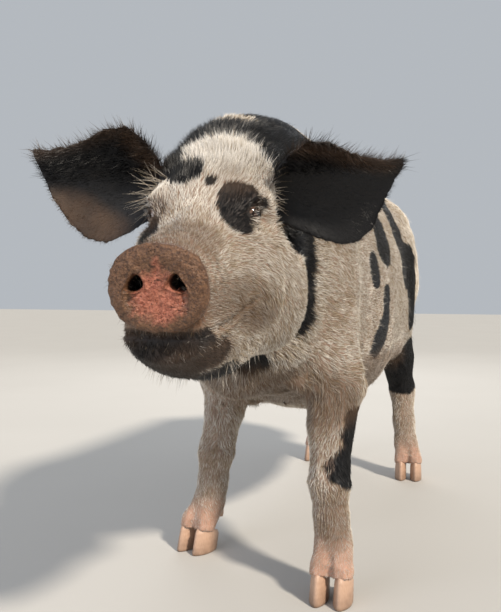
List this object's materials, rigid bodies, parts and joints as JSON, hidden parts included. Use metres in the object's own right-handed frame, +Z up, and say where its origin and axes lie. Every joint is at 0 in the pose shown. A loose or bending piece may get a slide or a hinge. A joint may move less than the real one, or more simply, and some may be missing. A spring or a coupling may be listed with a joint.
{
  "type": "pig",
  "caption": "Life-size standing spotted domestic pig with large semi-lop ears, head turned slightly to its left, bristly piebald coat; a still display figure.",
  "frame": {"origin": "middle of the underside of the box round the whole pig, on the floor that it stands on", "axes": "+Z up; the pig faces -Y, so +Y points towards its tail along its length; +X is the pig's own left"},
  "size_m": [0.4878, 1.5818, 0.808],
  "materials": {
    "hide": "cream white and black piebald hide under a short bristle coat",
    "ear_hide": "thin black ear hide, sparsely bristled, with a fringed rim",
    "jaw_hide": "dark, muddy hide of the lower jaw with stiff bristles",
    "snout_skin": "bare pink-brown snout disc, damp, with drying mud at its rim",
    "hoof_horn": "dull claw horn, pinkish and dusty",
    "eye": "wet dark brown eye"
  },
  "bodies": {
    "root": {"trunk": "hide", "neck": "hide", "tail": "hide", "head": "hide", "jaw": "jaw_hide", "snout_disc": "snout_skin", "eye_left": "eye", "eye_right": "eye", "ear_left": "ear_hide", "ear_right": "ear_hide", "foreleg_left_upper": "hide", "foreleg_left_lower": "hide", "foreleg_left_claw_outer": "hoof_horn", "foreleg_left_dewclaw_outer": "hoof_horn", "foreleg_left_claw_inner": "hoof_horn", "foreleg_left_dewclaw_inner": "hoof_horn", "foreleg_right_upper": "hide", "foreleg_right_lower": "hide", "foreleg_right_claw_inner": "hoof_horn", "foreleg_right_dewclaw_inner": "hoof_horn", "foreleg_right_claw_outer": "hoof_horn", "foreleg_right_dewclaw_outer": "hoof_horn", "hindleg_left_upper": "hide", "hindleg_left_lower": "hide", "hindleg_left_claw_outer": "hoof_horn", "hindleg_left_dewclaw_outer": "hoof_horn", "hindleg_left_claw_inner": "hoof_horn", "hindleg_left_dewclaw_inner": "hoof_horn", "hindleg_right_upper": "hide", "hindleg_right_lower": "hide", "hindleg_right_claw_inner": "hoof_horn", "hindleg_right_dewclaw_inner": "hoof_horn", "hindleg_right_claw_outer": "hoof_horn", "hindleg_right_dewclaw_outer": "hoof_horn"}
  },
  "joints": []
}
